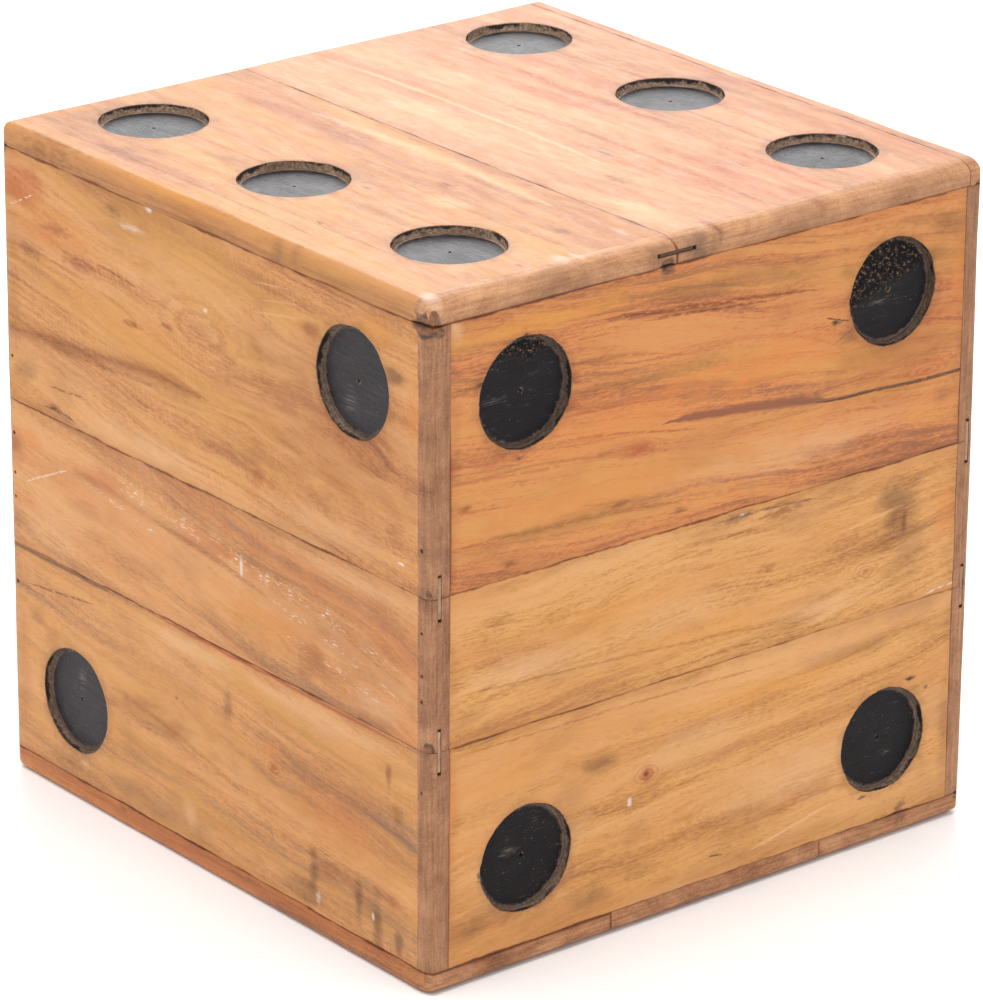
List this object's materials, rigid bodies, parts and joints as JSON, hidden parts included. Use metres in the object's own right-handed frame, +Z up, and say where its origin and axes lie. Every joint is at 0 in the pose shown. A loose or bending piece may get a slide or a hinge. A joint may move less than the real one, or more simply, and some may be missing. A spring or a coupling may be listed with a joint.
{
  "type": "giant wooden die",
  "caption": "Large hollow cube of edge-jointed boards with rounded corners and round black pips sunk in every face; stands on any face as a yard die, stool or side table.",
  "frame": {"origin": "centre of the underside, on the ground when the six is up", "axes": "+Z up through the face with six pips, -Y out of the face with four pips (front), -X out of the face with two pips (left)"},
  "size_m": [0.4, 0.4, 0.405],
  "materials": {
    "wall_timber": "golden brown hardwood boards, sanded and oiled, with long grain, dark streaks and scuffs",
    "top_timber": "pale peach hardwood boards with pinkish streaks along the grain, worn at the edges",
    "bottom_timber": "reddish brown hardwood boards, plainer and more worn",
    "tongue_timber": "thin pale loose tongues, seen only as end grain",
    "dowel_timber": "plain pale dowel rod, hidden",
    "pip_paint": "matt charcoal black paint, brushed and scuffed",
    "brad_steel": "dull steel, punched below the surface"
  },
  "bodies": {
    "root": {"back_board_lower": "wall_timber", "back_board_middle": "wall_timber", "back_board_upper": "wall_timber", "back_pip_paint_1": "pip_paint", "back_pip_paint_2": "pip_paint", "back_pip_paint_3": "pip_paint", "back_tongue_lower": "tongue_timber", "back_tongue_upper": "tongue_timber", "bottom_board_left": "bottom_timber", "bottom_board_middle": "bottom_timber", "bottom_board_right": "bottom_timber", "bottom_dowels": "dowel_timber", "bottom_pip_paint_1": "pip_paint", "bottom_tongue_1": "tongue_timber", "bottom_tongue_2": "tongue_timber", "brads_back_left": "brad_steel", "brads_back_right": "brad_steel", "brads_front_left": "brad_steel", "brads_front_right": "brad_steel", "front_board_lower": "wall_timber", "front_board_middle": "wall_timber", "front_board_upper": "wall_timber", "front_pip_paint_1": "pip_paint", "front_pip_paint_2": "pip_paint", "front_pip_paint_3": "pip_paint", "front_pip_paint_4": "pip_paint", "front_tongue_lower": "tongue_timber", "front_tongue_upper": "tongue_timber", "left_board_lower": "wall_timber", "left_board_middle": "wall_timber", "left_board_upper": "wall_timber", "left_pip_paint_1": "pip_paint", "left_pip_paint_2": "pip_paint", "left_tongue_lower": "tongue_timber", "left_tongue_upper": "tongue_timber", "right_board_lower": "wall_timber", "right_board_middle": "wall_timber", "right_board_upper": "wall_timber", "right_pip_paint_1": "pip_paint", "right_pip_paint_2": "pip_paint", "right_pip_paint_3": "pip_paint", "right_pip_paint_4": "pip_paint", "right_pip_paint_5": "pip_paint", "right_tongue_lower": "tongue_timber", "right_tongue_upper": "tongue_timber", "top_board_left": "top_timber", "top_board_right": "top_timber", "top_dowels": "dowel_timber", "top_pip_paint_1": "pip_paint", "top_pip_paint_2": "pip_paint", "top_pip_paint_3": "pip_paint", "top_pip_paint_4": "pip_paint", "top_pip_paint_5": "pip_paint", "top_pip_paint_6": "pip_paint", "top_strip": "top_timber", "top_tongue_1": "tongue_timber"}
  },
  "joints": []
}
